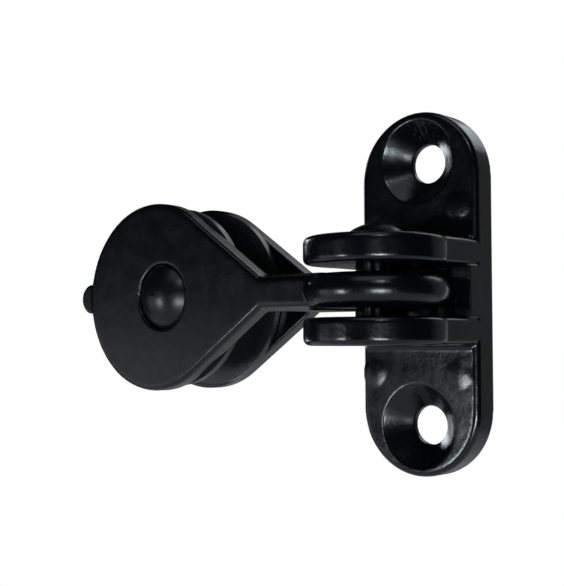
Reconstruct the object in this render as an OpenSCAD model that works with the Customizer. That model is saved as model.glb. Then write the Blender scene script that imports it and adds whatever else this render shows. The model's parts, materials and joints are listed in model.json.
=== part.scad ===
// Swivelling single sheave block on a wall plate, in millimetres.
// Origin: centre of the plate's back face. +Z runs up the plate and -Y points away from the wall.
// The arm is drawn swung to -X, parallel to the plate, and turns about a vertical pin.

/* [Mounting plate] */
// Overall height of the plate, end to end
plate_l = 46.6; // [44:0.1:60]
// Width of the plate and of the clevis ears
plate_w = 17.4; // [16:0.1:20]
// Thickness of the plate
plate_t = 3.8; // [3:0.1:5]
// Distance from each screw hole's centre to the nearer end of the plate
hole_edge = 6.4; // [6.2:0.1:8]
// Diameter of each screw hole, for a No. 10 (4.8 mm) countersunk screw
hole_d = 5; // [4.3:0.1:5.5]
// Diameter of each 90 degree countersink at the front face
csk_d = 10.8; // [8:0.1:10.8]
// Diameter of the low moulded pads on the front face
pad_d = 3.9; // [2:0.1:4.4]

/* [Clevis] */
// Distance from the wall to the swivel axis
pin_y = 12.7; // [12.4:0.1:18]
// Height of the gap between the two ears
gap_h = 6.4; // [5.4:0.1:9]
// Thickness of each ear
ear_t = 3.4; // [2.8:0.1:5]

/* [Arm] */
// Distance from the swivel axis to the axle
axle_x = 30.6; // [30:0.1:40]
// Width over the two cheeks
arm_w = 13.4; // [12:0.1:14]
// Thickness of each cheek
cheek_t = 2.5; // [1.8:0.1:2.8]
// Radius of the cheeks' round end
cheek_r = 12.7; // [11:0.1:14]
// Thickness of the tongue between the ears
tongue_t = 4.2; // [3.4:0.1:4.8]
// Distance from the swivel axis to the bend where the cheeks start to widen
bend_x = 13.3; // [12:0.1:15]

/* [Sheave] */
// Outside diameter of the sheave
sheave_d = 24; // [20:0.1:24.4]
// Largest line that the groove takes
line_d = 5; // [4:0.1:5]

/* [Pins] */
// Diameter of the axle rivet's shank
axle_d = 4; // [3:0.1:5]
// Diameter of the swivel pin's shank
pin_d = 3; // [2.6:0.1:3.6]

/* [Hidden] */
$fn = 96;

// Overlap between joined shapes, and how far cutters reach past a face
eps = 0.01;
over = 1;

moulding = "#202226";
fastener = "#26282b";
metal = "#8c8f94";

// Edge roundings
rim_r = 0.8;
ear_r = 0.9;
ear_low_r = 0.7;
cheek_edge_r = 0.6;

// Plate and clevis
plate_r = plate_w / 2;
end_z = plate_l / 2 - plate_r;
hole_z = plate_l / 2 - hole_edge;
csk_depth = (csk_d - hole_d) / 2;
wall_gap = 0.6;
wall_t = pin_y - arm_w / 2 - wall_gap;
ear_top = gap_h / 2 + ear_t;
ear_waist = 0.25;
ear_end_r = plate_r + ear_waist;
fillet_r = 0.8;
pad_h = 0.15;
pad_inset = 2.6;
pad_rise = 3.6;
pad_shift = 0.6;
pad_x = plate_r - pad_inset;
pad_z = ear_top + pad_rise;
pad_spots = [[pad_x, pad_z + pad_shift], [-pad_x - pad_shift, -pad_z], [pad_x, -pad_z]];

// Running and fitting gaps
running_gap = 0.05;
swing_gap = 0.4;
side_gap = 0.2;

// Arm
half_w = arm_w / 2;
inner_w = arm_w - 2 * cheek_t;
tongue_r = ear_end_r;
round_shift = 2;
round_x = axle_x + round_shift;
neck_h = 4;
neck_x = 4.4;
neck_lap = 1;
web_h = 4.6;
web_l = 2.35;
web_lap = 3;
web_shoulder = 0.6;
crotch_x = tongue_r + web_l;
lug_r = 2.1;
lug_t = 1.7;
lug_depth = 0.2;
lug_sink = 0.1;
recess_depth = 0.6;

// Swivel pin, its spacer tube and its washer
spacer_wall = 0.4;
swivel_spacer_d = pin_d + 2 * spacer_wall;
pin_head_lip = 2.5;
pin_head_d = pin_d + 2 * pin_head_lip;
pin_head_h = 1.7;
burr_lip = 1.8;
burr_d = pin_d + 2 * burr_lip;
burr_t = 0.6;
tail_lip = 0.8;
tail_d = pin_d + 2 * tail_lip;
tail_h = 0.6;
tail_depth = 0.1;
burr_seat = burr_t + tail_h + tail_depth;

// Axle rivet, its spacer tube and its washer
axle_spacer_wall = 1;
axle_spacer_d = axle_d + 2 * axle_spacer_wall;
rivet_head_lip = 2.1;
rivet_head_d = axle_d + 2 * rivet_head_lip;
rivet_rim_h = 0.3;
rivet_head_h = 2;
rivet_tail_d = axle_d + 2 * tail_lip;
rivet_tail_h = 0.8;
head_gap = 0.3;
recess_d = rivet_head_d + 2 * head_gap;
axle_burr_gap = 0.5;
axle_burr_d = recess_d - 2 * axle_burr_gap;

// Sheave
sheave_r = sheave_d / 2;
sheave_w = inner_w - 2 * side_gap;
flange_tip = 0.9;
groove_mouth = sheave_w / 2 - flange_tip;

// Groove bottom: its radius, how far its centre lies inside the rim, and where the flanks leave it
line_play = 0.1;
groove_cover = 0.15;
groove_r = line_d / 2 + line_play;
groove_sink = groove_r + groove_cover;
groove_z = sheave_r - groove_sink;
groove_turn = atan2(groove_mouth, groove_sink) + acos(groove_r / norm([groove_mouth, groove_sink]));
hub_wall = 3;
hub_d = axle_spacer_d + 2 * hub_wall;
web_recess = 0.5;
rim_band = 3.5;
rim_in_d = sheave_d - 2 * rim_band;

// Puts children at the swivel axis, with local +X along the arm and local +Y away from the wall.
module arm_frame() {
    translate([0, -pin_y, 0])
        rotate([0, 0, 180])
            children();
}

// Puts children on the axle, with local +Z along it and pointing away from the wall.
module axle_frame() {
    arm_frame()
        translate([axle_x, 0, 0])
            rotate([-90, 0, 0])
                children();
}

// Low dome of base diameter d and height h standing on z = 0
module dome(d, h) {
    ball_r = (d * d / 4 + h * h) / (2 * h);
    intersection() {
        translate([0, 0, h - ball_r])
            sphere(r = ball_r);
        cylinder(d = d, h = h);
    }
}

// Section of a bar on the +X side: half width w, height h, outer corners rounded by r_low and r_high
module half_section(w, h, r_low, r_high) {
    square([w - max(r_low, r_high), h]);
    translate([0, r_low])
        square([w, h - r_low - r_high]);
    if (r_low > 0)
        translate([w - r_low, r_low])
            circle(r = r_low);
    translate([w - r_high, h - r_high])
        circle(r = r_high);
}

// Whole section of the same bar
module full_section(w, h, r_low, r_high) {
    flat_w = w - max(r_low, r_high);
    translate([-flat_w, 0])
        square([2 * flat_w, h]);
    translate([-w, r_low])
        square([2 * w, h - r_low - r_high]);
    for (side = [-1, 1]) {
        if (r_low > 0)
            translate([side * (w - r_low), r_low])
                circle(r = r_low);
        translate([side * (w - r_high), h - r_high])
            circle(r = r_high);
    }
}

// Plate with two round ends and a rounded front rim, back face on y = 0
module plate_body() {
    rotate([90, 0, 0])
        for (side = [-1, 1])
            translate([0, side * end_z, 0])
                rotate_extrude()
                    half_section(plate_r, plate_t, 0, rim_r);
    translate([0, 0, -end_z])
        rotate([0, 0, 180])
            linear_extrude(2 * end_z)
                full_section(plate_r, plate_t, 0, rim_r);
}

// One ear: a flat tongue out of the plate with a half-round end about the swivel axis
module ear_body() {
    translate([0, -pin_y, gap_h / 2])
        rotate_extrude()
            half_section(ear_end_r, ear_t, ear_low_r, ear_r);
    translate([0, -plate_t / 2, gap_h / 2])
        rotate([90, 0, 0])
            linear_extrude(pin_y - plate_t / 2)
                full_section(plate_r, ear_t, ear_low_r, ear_r);
}

// Quarter-round fillet between an ear's outer face and the plate
module ear_fillet() {
    fillet_l = plate_w - 2 * rim_r;
    translate([-fillet_l / 2, -plate_t - fillet_r, ear_top])
        difference() {
            translate([0, 0, -eps])
                cube([fillet_l, fillet_r + eps, fillet_r + eps]);
            translate([-over, 0, fillet_r])
                rotate([0, 90, 0])
                    cylinder(r = fillet_r, h = fillet_l + 2 * over);
        }
}

module mounting_bracket() {
    color(moulding)
        difference() {
            union() {
                plate_body();
                for (side = [0, 1])
                    mirror([0, 0, side]) {
                        ear_body();
                        ear_fillet();
                    }
                translate([-plate_r, -wall_t, -gap_h / 2 - eps])
                    cube([plate_w, wall_t - plate_t / 2, gap_h + 2 * eps]);
                for (spot = pad_spots)
                    translate([spot[0], -plate_t + eps, spot[1]])
                        rotate([90, 0, 0])
                            dome(pad_d, pad_h + eps);
            }
            translate([0, -pin_y, -gap_h / 2])
                cylinder(r = tongue_r + swing_gap, h = gap_h);
            for (side = [-1, 1])
                translate([0, 0, side * hole_z])
                    rotate([90, 0, 0]) {
                        translate([0, 0, -over])
                            cylinder(d = hole_d, h = plate_t + 2 * over);
                        translate([0, 0, plate_t - csk_depth])
                            cylinder(d1 = hole_d, d2 = csk_d + 2 * over, h = csk_depth + over);
                    }
            translate([0, -pin_y, -ear_top - over]) {
                cylinder(d = pin_d, h = 2 * (ear_top + over));
                cylinder(d = burr_d, h = burr_seat + over);
            }
        }
}

// Rivet with a domed head on the upper ear and its tail set in the lower ear
module swivel_pin() {
    color(fastener)
        translate([0, -pin_y, 0]) {
            translate([0, 0, -ear_top + tail_h])
                cylinder(d = pin_d, h = 2 * ear_top - tail_h + eps);
            translate([0, 0, ear_top])
                dome(pin_head_d, pin_head_h);
            translate([0, 0, -ear_top + burr_seat - burr_t])
                mirror([0, 0, 1])
                    dome(tail_d, tail_h);
        }
}

// Tube that keeps the ears apart while the rivet is set; the tongue turns on it
module swivel_spacer() {
    color(metal)
        translate([0, -pin_y, -gap_h / 2])
            difference() {
                cylinder(d = swivel_spacer_d, h = gap_h);
                translate([0, 0, -over])
                    cylinder(d = pin_d, h = gap_h + 2 * over);
            }
}

module burr_washer(d, bore) {
    difference() {
        cylinder(d = d, h = burr_t);
        translate([0, 0, -over])
            cylinder(d = bore, h = burr_t + 2 * over);
    }
}

// Washer under the swivel pin's tail
module swivel_washer() {
    color(metal)
        translate([0, -pin_y, -ear_top + burr_seat - burr_t])
            burr_washer(burr_d, pin_d);
}

// Slab in the arm's side plane, t thick, its outer face at depth below the cheek's outer face
module slab(depth, t) {
    translate([0, half_w - depth, 0])
        rotate([90, 0, 0])
            linear_extrude(t)
                children();
}

// Stacks slabs of one outline, the outer ones drawn in by $inset, for hull() to round the outer edge
module round_edged() {
    e = cheek_edge_r;
    mid = e * (1 - cos(45));
    skin = e / 10;
    for (step = [[e, 0, skin], [mid, mid, skin], [0, e, cheek_t - e]]) {
        $inset = step[0];
        slab(step[1], step[2])
            children();
    }
}

// One cheek on the +Y side: round end and taper, then the straight neck, with rounded outer edges
module cheek() {
    hull()
        round_edged() {
            translate([round_x, 0])
                circle(r = cheek_r - $inset, $fn = 72);
            translate([bend_x, $inset - neck_h / 2])
                square([neck_lap, neck_h - 2 * $inset]);
        }
    hull()
        round_edged()
            translate([neck_x, $inset - neck_h / 2])
                square([bend_x + neck_lap - neck_x, neck_h - 2 * $inset]);
    translate([round_x + cheek_r - lug_sink, half_w - lug_t - lug_depth, 0])
        rotate([-90, 0, 0])
            cylinder(r = lug_r, h = lug_t);
}

// Thick middle of the neck, with sloping flanks
module neck_web() {
    edge = half_w - cheek_edge_r;
    flank = inner_w / 2 + web_shoulder;
    low = neck_h / 2 - cheek_edge_r;
    high = web_h / 2;
    translate([neck_x, 0, 0])
        rotate([90, 0, 90])
            linear_extrude(bend_x + web_lap - neck_x)
                polygon([[-edge, -low], [-flank, -high], [flank, -high], [edge, -low],
                         [edge, low], [flank, high], [-flank, high], [-edge, low]]);
}

// Disc between the ears, with a full-round edge
module tongue() {
    edge = tongue_t / 2;
    rotate_extrude() {
        translate([0, -edge])
            square([tongue_r - edge, tongue_t]);
        translate([tongue_r - edge, 0])
            circle(r = edge);
    }
}

// Tongue, neck and both cheeks, moulded as one
module fork_arm() {
    color(moulding)
        arm_frame()
            difference() {
                union() {
                    tongue();
                    neck_web();
                    for (side = [0, 1])
                        mirror([0, side, 0])
                            cheek();
                }
                translate([crotch_x + inner_w / 2, 0, -web_h])
                    cylinder(d = inner_w, h = 2 * web_h);
                translate([crotch_x + inner_w / 2, -inner_w / 2, -web_h])
                    cube([bend_x, inner_w, 2 * web_h]);
                translate([0, 0, -tongue_t])
                    cylinder(d = swivel_spacer_d + 2 * running_gap, h = 2 * tongue_t);
                translate([axle_x, -half_w - over, 0])
                    rotate([-90, 0, 0])
                        cylinder(d = axle_d, h = arm_w + 2 * over);
                for (side = [0, 1])
                    mirror([0, side, 0])
                        translate([axle_x, half_w - recess_depth, 0])
                            rotate([-90, 0, 0])
                                cylinder(d = recess_d, h = recess_depth + over);
            }
}

// Rivet through both cheeks, its domed head in the recess of the outer cheek
module axle_rivet() {
    color(fastener)
        axle_frame() {
            seat = half_w - recess_depth;
            translate([0, 0, -seat - burr_t])
                cylinder(d = axle_d, h = 2 * seat + burr_t + eps);
            translate([0, 0, seat])
                cylinder(d = rivet_head_d, h = rivet_rim_h);
            translate([0, 0, seat + rivet_rim_h])
                dome(rivet_head_d, rivet_head_h);
            translate([0, 0, -seat - burr_t])
                mirror([0, 0, 1])
                    dome(rivet_tail_d, rivet_tail_h);
        }
}

// Tube that keeps the cheeks apart while the rivet is set; the sheave turns on it
module axle_spacer() {
    color(metal)
        axle_frame()
            translate([0, 0, -inner_w / 2])
                difference() {
                    cylinder(d = axle_spacer_d, h = inner_w);
                    translate([0, 0, -over])
                        cylinder(d = axle_d, h = inner_w + 2 * over);
                }
}

// Washer under the axle rivet's tail, in the recess of the cheek next to the wall
module axle_washer() {
    color(metal)
        axle_frame()
            translate([0, 0, -half_w + recess_depth - burr_t])
                burr_washer(axle_burr_d, axle_d);
}

// Grooved wheel, turned about its own axis
module sheave() {
    bore_r = axle_spacer_d / 2 + running_gap;
    floor_x = groove_r * sin(groove_turn);
    floor_z = groove_z + groove_r * cos(groove_turn);
    color(moulding)
        axle_frame()
            rotate_extrude()
                difference() {
                    translate([bore_r, -sheave_w / 2])
                        square([sheave_r - bore_r, sheave_w]);
                    translate([groove_z, 0])
                        circle(r = groove_r);
                    polygon([[floor_z, -floor_x], [sheave_r, -groove_mouth],
                             [sheave_r + over, -groove_mouth], [sheave_r + over, groove_mouth],
                             [sheave_r, groove_mouth], [floor_z, floor_x]]);
                    for (side = [0, 1])
                        mirror([0, side])
                            translate([hub_d / 2, sheave_w / 2 - web_recess])
                                square([(rim_in_d - hub_d) / 2, web_recess + over]);
                }
}

mounting_bracket();
swivel_pin();
swivel_spacer();
swivel_washer();
fork_arm();
axle_rivet();
axle_spacer();
axle_washer();
sheave();
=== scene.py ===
"""Single sheave block: softened mouldings, materials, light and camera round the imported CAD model."""
import json
import math

import bpy
from mathutils import Matrix, Vector


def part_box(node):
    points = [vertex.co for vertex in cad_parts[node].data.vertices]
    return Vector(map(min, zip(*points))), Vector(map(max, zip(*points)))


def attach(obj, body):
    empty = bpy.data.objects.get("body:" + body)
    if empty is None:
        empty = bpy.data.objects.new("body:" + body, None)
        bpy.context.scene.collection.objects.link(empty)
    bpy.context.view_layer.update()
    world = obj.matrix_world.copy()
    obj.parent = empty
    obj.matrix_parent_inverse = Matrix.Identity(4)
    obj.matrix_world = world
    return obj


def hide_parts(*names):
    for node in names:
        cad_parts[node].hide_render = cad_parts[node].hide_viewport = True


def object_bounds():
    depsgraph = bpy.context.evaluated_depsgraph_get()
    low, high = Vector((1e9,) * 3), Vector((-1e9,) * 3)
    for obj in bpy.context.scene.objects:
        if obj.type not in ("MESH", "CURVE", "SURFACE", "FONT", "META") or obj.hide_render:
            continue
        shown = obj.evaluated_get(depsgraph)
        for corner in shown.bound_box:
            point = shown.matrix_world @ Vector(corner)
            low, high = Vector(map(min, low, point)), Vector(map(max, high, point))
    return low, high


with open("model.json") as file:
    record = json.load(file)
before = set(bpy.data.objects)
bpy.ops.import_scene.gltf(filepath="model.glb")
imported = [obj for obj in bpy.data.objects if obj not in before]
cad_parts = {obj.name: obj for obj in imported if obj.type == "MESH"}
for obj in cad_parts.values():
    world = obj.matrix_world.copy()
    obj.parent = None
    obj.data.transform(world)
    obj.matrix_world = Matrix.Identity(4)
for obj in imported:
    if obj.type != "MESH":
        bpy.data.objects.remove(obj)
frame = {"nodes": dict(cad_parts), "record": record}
CAD_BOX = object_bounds()

MM = 0.001


# ---------------------------------------------------------------- camera

CAMERA_AIM = Vector((-17.95, -9.24, 0.4)) * MM
CAMERA_DISTANCE = 150 * MM
CAMERA_AZIMUTH = math.radians(40.15)
CAMERA_ELEVATION = math.radians(-2.34)
CAMERA_ROLL = math.radians(-0.2)
CAMERA_LENS = 68.76


def toward(azimuth, elevation):
    """Unit vector from the object; azimuth 0 is -Y, and it grows towards +X."""
    flat = math.cos(elevation)
    return Vector((math.sin(azimuth) * flat, -math.cos(azimuth) * flat, math.sin(elevation)))


def make_camera():
    data = bpy.data.cameras.new("camera")
    data.lens = CAMERA_LENS
    data.sensor_width = 36
    data.clip_start = 0.01
    data.clip_end = 20
    camera = bpy.data.objects.new("camera", data)
    bpy.context.scene.collection.objects.link(camera)
    back = toward(CAMERA_AZIMUTH, CAMERA_ELEVATION)
    turn = back.to_track_quat("Z", "Y").to_matrix().to_4x4()
    place = Matrix.Translation(CAMERA_AIM + back * CAMERA_DISTANCE)
    camera.matrix_world = place @ turn @ Matrix.Rotation(CAMERA_ROLL, 4, "Z")
    bpy.context.scene.camera = camera


make_camera()


# ---------------------------------------------------------------- softened mouldings

VOXEL = 0.11 * MM
BORE_MARGIN = 0.3 * MM
BRACKET_PASSES = 12
ARM_PASSES = 24
DRAFT_SLOPE = 0.02
DRAFT_START = 10 * MM
DRAFT_SKIN = 0.25 * MM
DRAFT_RAMP = 6 * MM
JOINTS = {joint["name"]: joint for joint in frame["record"]["behaviour"]["joints"]}


def bore(joint, pin):
    """Axis and radius of the hole that a pin or tube fills: its joint's axis and its own half width."""
    low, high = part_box(pin)
    return Vector(JOINTS[joint]["pos_m"]), Vector(JOINTS[joint]["axis"]), (high[0] - low[0]) / 2


def clear_of_bores(mesh, bores):
    """Numbers of the vertices that lie away from every bore, which are the ones to soften."""
    found = []
    for vertex in mesh.vertices:
        gaps = []
        for centre, axis, radius in bores:
            offset = vertex.co - centre
            gaps.append((offset - axis * offset.dot(axis)).length - radius)
        if min(gaps) > BORE_MARGIN:
            found.append(vertex.index)
    return found


def apply_modifiers(piece):
    """Leaves the piece with its final mesh and no modifiers."""
    graph = bpy.context.evaluated_depsgraph_get()
    done = bpy.data.meshes.new_from_object(piece.evaluated_get(graph), depsgraph=graph)
    piece.modifiers.clear()
    piece.data = done


def draft(piece):
    """Slopes both outer faces of the arm away from a ridge at mid height."""
    centre = Vector(JOINTS["arm_swivel"]["pos_m"])
    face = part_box("fork_arm")[1][1] - centre.y
    for vertex in piece.data.vertices:
        side = vertex.co.y - centre.y
        along = centre.x - vertex.co.x
        if abs(side) > face - DRAFT_SKIN and along > DRAFT_START:
            ramp = min(1.0, (along - DRAFT_START) / DRAFT_RAMP)
            vertex.co.y -= math.copysign(ramp * DRAFT_SLOPE * abs(vertex.co.z), side)


def softened(node, name, bores, passes):
    """The CAD node's shape with its edges and inner corners softened, as a mould leaves them."""
    piece = bpy.data.objects.new(name, frame["nodes"][node].data.copy())
    bpy.context.scene.collection.objects.link(piece)
    remesh = piece.modifiers.new("remesh", "REMESH")
    remesh.mode = "VOXEL"
    remesh.voxel_size = VOXEL
    apply_modifiers(piece)
    group = piece.vertex_groups.new(name="soft")
    group.add(clear_of_bores(piece.data, bores), 1.0, "REPLACE")
    smooth = piece.modifiers.new("smooth", "SMOOTH")
    smooth.factor = 0.5
    smooth.iterations = passes
    smooth.vertex_group = "soft"
    apply_modifiers(piece)
    piece.vertex_groups.clear()
    piece.data.shade_smooth()
    piece.data.materials.clear()
    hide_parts(node)
    return piece


SWIVEL_BORE = bore("arm_swivel", "swivel_spacer")
AXLE_BORE = bore("sheave_spin", "axle_spacer")
bracket = softened("mounting_bracket", "bracket", [SWIVEL_BORE], BRACKET_PASSES)
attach(bracket, "bracket")
arm = softened("fork_arm", "arm", [SWIVEL_BORE, AXLE_BORE], ARM_PASSES)
draft(arm)
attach(arm, "arm")


# ---------------------------------------------------------------- materials

# Blender's Mix node holds a set of sockets for each data type; these are the factor and the colours
MIX_COLOUR_INPUTS = (0, 6, 7)
MIX_COLOUR_OUTPUT = 2


class Nodes:
    """Short calls for building one node tree."""

    def __init__(self, tree):
        self.tree = tree
        tree.nodes.clear()

    def feed(self, socket, value):
        """Links the socket to another node's output, or sets its own value."""
        if hasattr(value, "is_output"):
            self.tree.links.new(value, socket)
        else:
            socket.default_value = value

    def add(self, kind, inputs=None, **settings):
        node = self.tree.nodes.new(kind)
        for name, value in settings.items():
            setattr(node, name, value)
        for name, value in (inputs or {}).items():
            self.feed(node.inputs[name], value)
        return node

    def noise(self, place, scale, detail=2.0, roughness=0.5):
        inputs = {"Vector": place, "Scale": scale, "Detail": detail, "Roughness": roughness}
        return self.add("ShaderNodeTexNoise", inputs).outputs["Fac"]

    def remap(self, value, low, high, to_low, to_high):
        inputs = {"Value": value, "From Min": low, "From Max": high, "To Min": to_low, "To Max": to_high}
        return self.add("ShaderNodeMapRange", inputs).outputs["Result"]

    def mix(self, factor, a, b):
        node = self.add("ShaderNodeMix", data_type="RGBA")
        for number, value in zip(MIX_COLOUR_INPUTS, (factor, a, b)):
            self.feed(node.inputs[number], value)
        return node.outputs[MIX_COLOUR_OUTPUT]

    def math(self, operation, a, b):
        node = self.add("ShaderNodeMath", operation=operation)
        for socket, value in zip(node.inputs, (a, b)):
            self.feed(socket, value)
        return node.outputs[0]

    def bump(self, height, strength, distance, normal=None):
        inputs = {"Height": height, "Strength": strength, "Distance": distance}
        if normal is not None:
            inputs["Normal"] = normal
        return self.add("ShaderNodeBump", inputs).outputs["Normal"]


DUST = (0.10, 0.105, 0.11, 1)
RUBBED_PLASTIC = (0.035, 0.038, 0.042, 1)
COAT_DARK = (0.001, 0.0012, 0.0015, 1)
COAT_LIGHT = (0.003, 0.0033, 0.004, 1)
COAT_SCUFF = (0.06, 0.06, 0.063, 1)
STEEL_DARK = (0.42, 0.43, 0.45, 1)
STEEL_LIGHT = (0.58, 0.59, 0.60, 1)

# Bump heights
RIPPLE_DEPTH = 0.08 * MM
DENT_DEPTH = 0.08 * MM
SCUFF_DEPTH = 0.02 * MM
GRAIN_DEPTH = 0.01 * MM

# Noise scales along and across the turning marks
ACROSS_MARKS = 9000.0
ALONG_MARKS = 120.0


def new_material(name):
    """An empty material, its node builder and its place on the piece in metres."""
    material = bpy.data.materials.new(name)
    material.use_nodes = True
    n = Nodes(material.node_tree)
    return material, n, n.add("ShaderNodeTexCoord").outputs["Object"]


def surface(n, colour, roughness, normal):
    """Puts the shader and the output on a material, and gives the shader."""
    shader = n.add("ShaderNodeBsdfPrincipled", {
        "Base Color": colour, "Roughness": roughness, "Normal": normal})
    n.add("ShaderNodeOutputMaterial", {"Surface": shader.outputs[0]})
    return shader


def moulded(name, dark, light, rough, ripple, wear):
    """Black moulding: cast ripple, fine die grain, a little dust and slightly rubbed edges."""
    material, n, place = new_material(name)
    flow = n.noise(place, 420.0, 4.0, 0.6)
    cloud = n.noise(place, 150.0, 2.0, 0.5)
    die = n.noise(place, 5200.0, 2.0, 0.6)
    speck = n.noise(place, 3100.0, 1.0, 0.5)
    edge = n.add("ShaderNodeNewGeometry").outputs["Pointiness"]
    rubbed = n.remap(edge, 0.53, 0.62, 0.0, wear)
    tone = n.mix(n.remap(cloud, 0.35, 0.65, 0.0, 1.0), dark, light)
    dusty = n.mix(n.remap(speck, 0.79, 0.83, 0.0, 0.3), tone, DUST)
    colour = n.mix(rubbed, dusty, RUBBED_PLASTIC)
    mottled = n.remap(flow, 0.3, 0.7, rough - 0.04, rough + 0.05)
    roughness = n.math("ADD", mottled, n.remap(die, 0.3, 0.7, -0.02, 0.03))
    wavy = n.bump(flow, ripple, RIPPLE_DEPTH)
    normal = n.bump(die, 0.12, GRAIN_DEPTH, wavy)
    shader = surface(n, colour, roughness, normal)
    shader.inputs["IOR"].default_value = 1.5
    return material


def coated_rivet(name):
    """Black coated rivet: tiny dents and small grey scuffs."""
    material, n, place = new_material(name)
    dents = n.noise(place, 900.0, 3.0, 0.6)
    scuff = n.noise(place, 2600.0, 4.0, 0.7)
    tone = n.mix(n.remap(dents, 0.4, 0.7, 0.0, 1.0), COAT_DARK, COAT_LIGHT)
    colour = n.mix(n.remap(scuff, 0.70, 0.78, 0.0, 0.4), tone, COAT_SCUFF)
    roughness = n.remap(dents, 0.3, 0.7, 0.29, 0.38)
    normal = n.bump(scuff, 0.1, SCUFF_DEPTH, n.bump(dents, 0.12, DENT_DEPTH))
    shader = surface(n, colour, roughness, normal)
    shader.inputs["IOR"].default_value = 1.45
    return material


def turned_steel(name, axis):
    """Steel tube or washer with turning marks round the given axis, 0 to 2 for X to Z."""
    material, n, place = new_material(name)
    stretch = tuple(ACROSS_MARKS if i == axis else ALONG_MARKS for i in range(3))
    drawn = n.add("ShaderNodeMapping", {"Vector": place, "Scale": stretch}).outputs["Vector"]
    lines = n.noise(drawn, 1.0, 3.0, 0.6)
    stain = n.noise(place, 500.0, 3.0, 0.6)
    colour = n.mix(n.remap(stain, 0.4, 0.7, 0.0, 1.0), STEEL_DARK, STEEL_LIGHT)
    roughness = n.remap(lines, 0.3, 0.7, 0.22, 0.4)
    normal = n.bump(lines, 0.3, GRAIN_DEPTH)
    shader = surface(n, colour, roughness, normal)
    shader.inputs["Metallic"].default_value = 1.0
    return material


NYLON_DARK = (0.0006, 0.0012, 0.0022, 1)
NYLON_LIGHT = (0.0015, 0.0026, 0.0038, 1)
WHEEL_DARK = (0.004, 0.0042, 0.0045, 1)
WHEEL_LIGHT = (0.007, 0.0073, 0.0077, 1)
BRACKET = moulded("bracket_moulding", NYLON_DARK, NYLON_LIGHT, 0.21, 0.8, 0.35)
ARM = moulded("arm_moulding", NYLON_DARK, NYLON_LIGHT, 0.23, 0.2, 0.3)
WHEEL = moulded("sheave_moulding", WHEEL_DARK, WHEEL_LIGHT, 0.26, 0.15, 0.25)
RIVET = coated_rivet("rivet_coating")
STEEL_UP = turned_steel("steel_upright", 2)
STEEL_ACROSS = turned_steel("steel_across", 1)


def wear_material(node, material):
    slots = frame["nodes"][node].data.materials
    slots.clear()
    slots.append(material)


bracket.data.materials.append(BRACKET)
arm.data.materials.append(ARM)
for node, material in (("sheave", WHEEL), ("swivel_pin", RIVET), ("axle_rivet", RIVET),
                       ("swivel_spacer", RIVET), ("swivel_washer", STEEL_UP),
                       ("axle_spacer", STEEL_ACROSS), ("axle_washer", STEEL_ACROSS)):
    wear_material(node, material)


# ---------------------------------------------------------------- light and floor

LAMP_COLOUR = (0.86, 0.94, 1.0)


def softbox(name, azimuth, elevation, distance, width, height, power):
    """Area light facing the origin, angles in degrees; at a negative distance it faces away."""
    data = bpy.data.lights.new(name, "AREA")
    data.shape = "RECTANGLE"
    data.size = width
    data.size_y = height
    data.energy = power
    data.color = LAMP_COLOUR
    light = bpy.data.objects.new(name, data)
    bpy.context.scene.collection.objects.link(light)
    back = toward(math.radians(azimuth), math.radians(elevation))
    turn = back.to_track_quat("Z", "Y").to_matrix().to_4x4()
    light.matrix_world = Matrix.Translation(back * distance) @ turn


# The room in the reflections: how far round to +Y its bright back wall starts, how soft that edge
# is, and how bright the room and the wall are
BACK_WALL_EDGE = 0.64
BACK_WALL_BLUR = 0.08
ROOM_LIGHT = 0.008
BACK_WALL_LIGHT = 0.17
FLOOR_RADIUS = 0.4
FLOOR_DROP = 0.15
FLOOR_COLOUR = (0.86, 0.86, 0.86, 1)


def make_world():
    """White where the camera looks; a dark room with a bright back wall for the gloss."""
    world = bpy.data.worlds.new("studio")
    bpy.context.scene.world = world
    world.use_nodes = True
    n = Nodes(world.node_tree)
    seen = n.add("ShaderNodeLightPath").outputs["Is Camera Ray"]
    look = n.add("ShaderNodeTexCoord").outputs["Generated"]
    depth = n.add("ShaderNodeSeparateXYZ", {"Vector": look}).outputs["Y"]
    wall_start = (BACK_WALL_EDGE, BACK_WALL_EDGE + BACK_WALL_BLUR)
    room = n.remap(depth, *wall_start, ROOM_LIGHT, BACK_WALL_LIGHT)
    around = n.add("ShaderNodeBackground", {"Color": (1, 1, 1, 1), "Strength": room})
    white = n.add("ShaderNodeBackground", {"Color": (1, 1, 1, 1), "Strength": 1.0})
    both = n.add("ShaderNodeMixShader", {"Fac": seen})
    n.tree.links.new(around.outputs[0], both.inputs[1])
    n.tree.links.new(white.outputs[0], both.inputs[2])
    n.add("ShaderNodeOutputWorld", {"Surface": both.outputs[0]})


def make_floor():
    bpy.ops.mesh.primitive_circle_add(vertices=96, radius=FLOOR_RADIUS, fill_type="NGON")
    floor = bpy.context.object
    floor.name = "floor"
    floor.location = (0, 0, CAD_BOX[0][2] - FLOOR_DROP)
    material = bpy.data.materials.new("floor")
    material.use_nodes = True
    shader = material.node_tree.nodes["Principled BSDF"]
    shader.inputs["Base Color"].default_value = FLOOR_COLOUR
    shader.inputs["Roughness"].default_value = 0.9
    floor.data.materials.append(material)


make_world()
make_floor()
softbox("key", 40, -18, 0.9, 0.28, 0.26, 5.4)
softbox("side", -22, -14, 0.9, 0.12, 0.26, 2.0)
softbox("left_fill", -52, -12, 1.2, 0.5, 0.5, 0.7)
softbox("lamp", 42, 44, 0.9, 0.10, 0.10, 0.6)
softbox("top", 20, 70, 0.9, 0.6, 0.6, 0.8)
softbox("back_high", 180, 42, 0.9, 0.5, 0.5, 1.2)
softbox("back_wall", 186, -6, 0.9, 0.45, 0.45, 0.6)
softbox("back_side", 252, 2, 0.9, 0.25, 0.5, 2.5)
softbox("floor_wash", 0, 90, -0.07, 0.7, 0.7, 0.45)
bpy.context.scene.view_settings.view_transform = "Standard"
